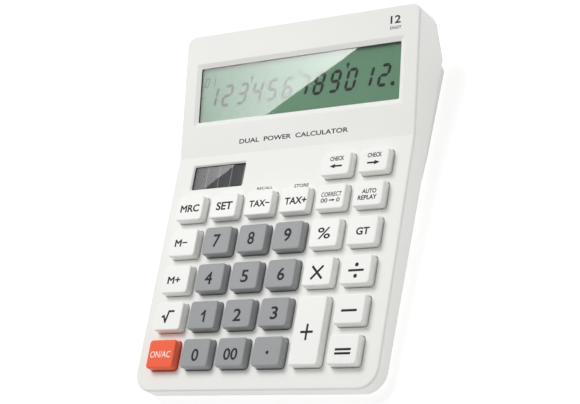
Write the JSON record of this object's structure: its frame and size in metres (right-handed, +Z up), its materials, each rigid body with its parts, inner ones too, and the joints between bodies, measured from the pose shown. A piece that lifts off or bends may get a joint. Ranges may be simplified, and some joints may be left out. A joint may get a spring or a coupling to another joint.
{
  "type": "desk calculator",
  "caption": "Desk calculator with a tilted display deck, a solar strip, sprung push keys and a sliding battery door underneath.",
  "frame": {"origin": "centre of the bounding box, on the plane the feet stand on", "axes": "+X to the user's right, +Y away from the user towards the display, +Z up"},
  "size_m": [0.153, 0.2024, 0.0383],
  "materials": {
    "casing_white": "moulded ABS, satin",
    "cover_white": "moulded ABS, fine texture",
    "key_white": "moulded ABS key caps, satin",
    "key_grey": "moulded ABS key caps, satin",
    "key_orange_red": "moulded ABS key cap, satin",
    "clear_window": "clear acrylic lens",
    "lcd_glass": "liquid crystal panel under a polarising film",
    "reflector_film": "pearlescent reflector film",
    "ribbon_film": "polyimide ribbon",
    "solar_cell": "amorphous silicon cells on glass",
    "wire_red": "PVC insulation",
    "wire_black": "PVC insulation or sleeve",
    "circuit_board": "paper phenolic board with solder mask",
    "epoxy_black": "epoxy drop",
    "keypad_silicone": "silicone rubber",
    "cell_wrap": "shrink wrap over a steel can",
    "contact_steel": "nickel-plated spring steel",
    "screw_steel": "zinc-plated steel",
    "foot_rubber": "moulded rubber"
  },
  "bodies": {
    "casing": {"front_casing": "casing_white", "rear_cover": "cover_white", "display_window": "clear_window", "lcd_panel": "lcd_glass", "lcd_reflector": "reflector_film", "lcd_holder": "casing_white", "lcd_ribbon": "ribbon_film", "solar_window": "clear_window", "solar_cell": "solar_cell", "solar_lead_positive": "wire_red", "solar_lead_negative": "wire_black", "main_board": "circuit_board", "chip_cover": "epoxy_black", "capacitor": "wire_black", "rubber_keypad": "keypad_silicone", "battery": "cell_wrap", "battery_contact_positive": "contact_steel", "battery_contact_spring": "contact_steel", "case_screw_front_left": "screw_steel", "case_screw_front_right": "screw_steel", "case_screw_middle_left": "screw_steel", "case_screw_middle_right": "screw_steel", "case_screw_rear_left": "screw_steel", "case_screw_rear_right": "screw_steel", "foot_front_left": "foot_rubber", "foot_front_right": "foot_rubber", "foot_rear_left": "foot_rubber", "foot_rear_right": "foot_rubber"},
    "battery_door": {"battery_door": "cover_white"},
    "key_on_all_clear": {"key_on_all_clear": "key_orange_red"},
    "key_0": {"key_0": "key_grey"},
    "key_00": {"key_00": "key_grey"},
    "key_point": {"key_point": "key_grey"},
    "key_1": {"key_1": "key_grey"},
    "key_2": {"key_2": "key_grey"},
    "key_3": {"key_3": "key_grey"},
    "key_4": {"key_4": "key_grey"},
    "key_5": {"key_5": "key_grey"},
    "key_6": {"key_6": "key_grey"},
    "key_7": {"key_7": "key_grey"},
    "key_8": {"key_8": "key_grey"},
    "key_9": {"key_9": "key_grey"},
    "key_square_root": {"key_square_root": "key_white"},
    "key_memory_plus": {"key_memory_plus": "key_white"},
    "key_memory_minus": {"key_memory_minus": "key_white"},
    "key_memory_recall": {"key_memory_recall": "key_white"},
    "key_set": {"key_set": "key_white"},
    "key_tax_minus": {"key_tax_minus": "key_white"},
    "key_tax_plus": {"key_tax_plus": "key_white"},
    "key_correct": {"key_correct": "key_white"},
    "key_auto_replay": {"key_auto_replay": "key_white"},
    "key_check_back": {"key_check_back": "key_white"},
    "key_check_forward": {"key_check_forward": "key_white"},
    "key_percent": {"key_percent": "key_white"},
    "key_grand_total": {"key_grand_total": "key_white"},
    "key_multiply": {"key_multiply": "key_white"},
    "key_divide": {"key_divide": "key_white"},
    "key_minus": {"key_minus": "key_white"},
    "key_plus": {"key_plus": "key_white"},
    "key_equals": {"key_equals": "key_white"}
  },
  "joints": [
    {"name": "press_on_all_clear", "type": "slide", "parent": "casing", "child": "key_on_all_clear", "axis": [0, -0.0698, 0.9976], "range_m": [-0.0018, 0], "stiffness_N_per_m": 220, "springref_m": 0.0012, "deforming": ["rubber_keypad"]},
    {"name": "press_0", "type": "slide", "parent": "casing", "child": "key_0", "axis": [0, -0.0698, 0.9976], "range_m": [-0.0018, 0], "stiffness_N_per_m": 220, "springref_m": 0.0012, "deforming": ["rubber_keypad"]},
    {"name": "press_00", "type": "slide", "parent": "casing", "child": "key_00", "axis": [0, -0.0698, 0.9976], "range_m": [-0.0018, 0], "stiffness_N_per_m": 220, "springref_m": 0.0012, "deforming": ["rubber_keypad"]},
    {"name": "press_point", "type": "slide", "parent": "casing", "child": "key_point", "axis": [0, -0.0698, 0.9976], "range_m": [-0.0018, 0], "stiffness_N_per_m": 220, "springref_m": 0.0012, "deforming": ["rubber_keypad"]},
    {"name": "press_1", "type": "slide", "parent": "casing", "child": "key_1", "axis": [0, -0.0698, 0.9976], "range_m": [-0.0018, 0], "stiffness_N_per_m": 220, "springref_m": 0.0012, "deforming": ["rubber_keypad"]},
    {"name": "press_2", "type": "slide", "parent": "casing", "child": "key_2", "axis": [0, -0.0698, 0.9976], "range_m": [-0.0018, 0], "stiffness_N_per_m": 220, "springref_m": 0.0012, "deforming": ["rubber_keypad"]},
    {"name": "press_3", "type": "slide", "parent": "casing", "child": "key_3", "axis": [0, -0.0698, 0.9976], "range_m": [-0.0018, 0], "stiffness_N_per_m": 220, "springref_m": 0.0012, "deforming": ["rubber_keypad"]},
    {"name": "press_4", "type": "slide", "parent": "casing", "child": "key_4", "axis": [0, -0.0698, 0.9976], "range_m": [-0.0018, 0], "stiffness_N_per_m": 220, "springref_m": 0.0012, "deforming": ["rubber_keypad"]},
    {"name": "press_5", "type": "slide", "parent": "casing", "child": "key_5", "axis": [0, -0.0698, 0.9976], "range_m": [-0.0018, 0], "stiffness_N_per_m": 220, "springref_m": 0.0012, "deforming": ["rubber_keypad"]},
    {"name": "press_6", "type": "slide", "parent": "casing", "child": "key_6", "axis": [0, -0.0698, 0.9976], "range_m": [-0.0018, 0], "stiffness_N_per_m": 220, "springref_m": 0.0012, "deforming": ["rubber_keypad"]},
    {"name": "press_7", "type": "slide", "parent": "casing", "child": "key_7", "axis": [0, -0.0698, 0.9976], "range_m": [-0.0018, 0], "stiffness_N_per_m": 220, "springref_m": 0.0012, "deforming": ["rubber_keypad"]},
    {"name": "press_8", "type": "slide", "parent": "casing", "child": "key_8", "axis": [0, -0.0698, 0.9976], "range_m": [-0.0018, 0], "stiffness_N_per_m": 220, "springref_m": 0.0012, "deforming": ["rubber_keypad"]},
    {"name": "press_9", "type": "slide", "parent": "casing", "child": "key_9", "axis": [0, -0.0698, 0.9976], "range_m": [-0.0018, 0], "stiffness_N_per_m": 220, "springref_m": 0.0012, "deforming": ["rubber_keypad"]},
    {"name": "press_square_root", "type": "slide", "parent": "casing", "child": "key_square_root", "axis": [0, -0.0698, 0.9976], "range_m": [-0.0018, 0], "stiffness_N_per_m": 220, "springref_m": 0.0012, "deforming": ["rubber_keypad"]},
    {"name": "press_memory_plus", "type": "slide", "parent": "casing", "child": "key_memory_plus", "axis": [0, -0.0698, 0.9976], "range_m": [-0.0018, 0], "stiffness_N_per_m": 220, "springref_m": 0.0012, "deforming": ["rubber_keypad"]},
    {"name": "press_memory_minus", "type": "slide", "parent": "casing", "child": "key_memory_minus", "axis": [0, -0.0698, 0.9976], "range_m": [-0.0018, 0], "stiffness_N_per_m": 220, "springref_m": 0.0012, "deforming": ["rubber_keypad"]},
    {"name": "press_memory_recall", "type": "slide", "parent": "casing", "child": "key_memory_recall", "axis": [0, -0.0698, 0.9976], "range_m": [-0.0018, 0], "stiffness_N_per_m": 220, "springref_m": 0.0012, "deforming": ["rubber_keypad"]},
    {"name": "press_set", "type": "slide", "parent": "casing", "child": "key_set", "axis": [0, -0.0698, 0.9976], "range_m": [-0.0018, 0], "stiffness_N_per_m": 220, "springref_m": 0.0012, "deforming": ["rubber_keypad"]},
    {"name": "press_tax_minus", "type": "slide", "parent": "casing", "child": "key_tax_minus", "axis": [0, -0.0698, 0.9976], "range_m": [-0.0018, 0], "stiffness_N_per_m": 220, "springref_m": 0.0012, "deforming": ["rubber_keypad"]},
    {"name": "press_tax_plus", "type": "slide", "parent": "casing", "child": "key_tax_plus", "axis": [0, -0.0698, 0.9976], "range_m": [-0.0018, 0], "stiffness_N_per_m": 220, "springref_m": 0.0012, "deforming": ["rubber_keypad"]},
    {"name": "press_correct", "type": "slide", "parent": "casing", "child": "key_correct", "axis": [0, -0.0698, 0.9976], "range_m": [-0.0018, 0], "stiffness_N_per_m": 220, "springref_m": 0.0012, "deforming": ["rubber_keypad"]},
    {"name": "press_auto_replay", "type": "slide", "parent": "casing", "child": "key_auto_replay", "axis": [0, -0.0698, 0.9976], "range_m": [-0.0018, 0], "stiffness_N_per_m": 220, "springref_m": 0.0012, "deforming": ["rubber_keypad"]},
    {"name": "press_check_back", "type": "slide", "parent": "casing", "child": "key_check_back", "axis": [0, -0.0698, 0.9976], "range_m": [-0.0018, 0], "stiffness_N_per_m": 220, "springref_m": 0.0012, "deforming": ["rubber_keypad"]},
    {"name": "press_check_forward", "type": "slide", "parent": "casing", "child": "key_check_forward", "axis": [0, -0.0698, 0.9976], "range_m": [-0.0018, 0], "stiffness_N_per_m": 220, "springref_m": 0.0012, "deforming": ["rubber_keypad"]},
    {"name": "press_percent", "type": "slide", "parent": "casing", "child": "key_percent", "axis": [0, -0.0698, 0.9976], "range_m": [-0.0018, 0], "stiffness_N_per_m": 220, "springref_m": 0.0012, "deforming": ["rubber_keypad"]},
    {"name": "press_grand_total", "type": "slide", "parent": "casing", "child": "key_grand_total", "axis": [0, -0.0698, 0.9976], "range_m": [-0.0018, 0], "stiffness_N_per_m": 220, "springref_m": 0.0012, "deforming": ["rubber_keypad"]},
    {"name": "press_multiply", "type": "slide", "parent": "casing", "child": "key_multiply", "axis": [0, -0.0698, 0.9976], "range_m": [-0.0018, 0], "stiffness_N_per_m": 220, "springref_m": 0.0012, "deforming": ["rubber_keypad"]},
    {"name": "press_divide", "type": "slide", "parent": "casing", "child": "key_divide", "axis": [0, -0.0698, 0.9976], "range_m": [-0.0018, 0], "stiffness_N_per_m": 220, "springref_m": 0.0012, "deforming": ["rubber_keypad"]},
    {"name": "press_minus", "type": "slide", "parent": "casing", "child": "key_minus", "axis": [0, -0.0698, 0.9976], "range_m": [-0.0018, 0], "stiffness_N_per_m": 220, "springref_m": 0.0012, "deforming": ["rubber_keypad"]},
    {"name": "press_plus", "type": "slide", "parent": "casing", "child": "key_plus", "axis": [0, -0.0698, 0.9976], "range_m": [-0.0018, 0], "stiffness_N_per_m": 220, "springref_m": 0.0012, "deforming": ["rubber_keypad"]},
    {"name": "press_equals", "type": "slide", "parent": "casing", "child": "key_equals", "axis": [0, -0.0698, 0.9976], "range_m": [-0.0018, 0], "stiffness_N_per_m": 220, "springref_m": 0.0012, "deforming": ["rubber_keypad"]},
    {"name": "battery_door_slide", "type": "slide", "parent": "casing", "child": "battery_door", "axis": [0, 1, 0], "range_m": [0, 0.034]}
  ]
}
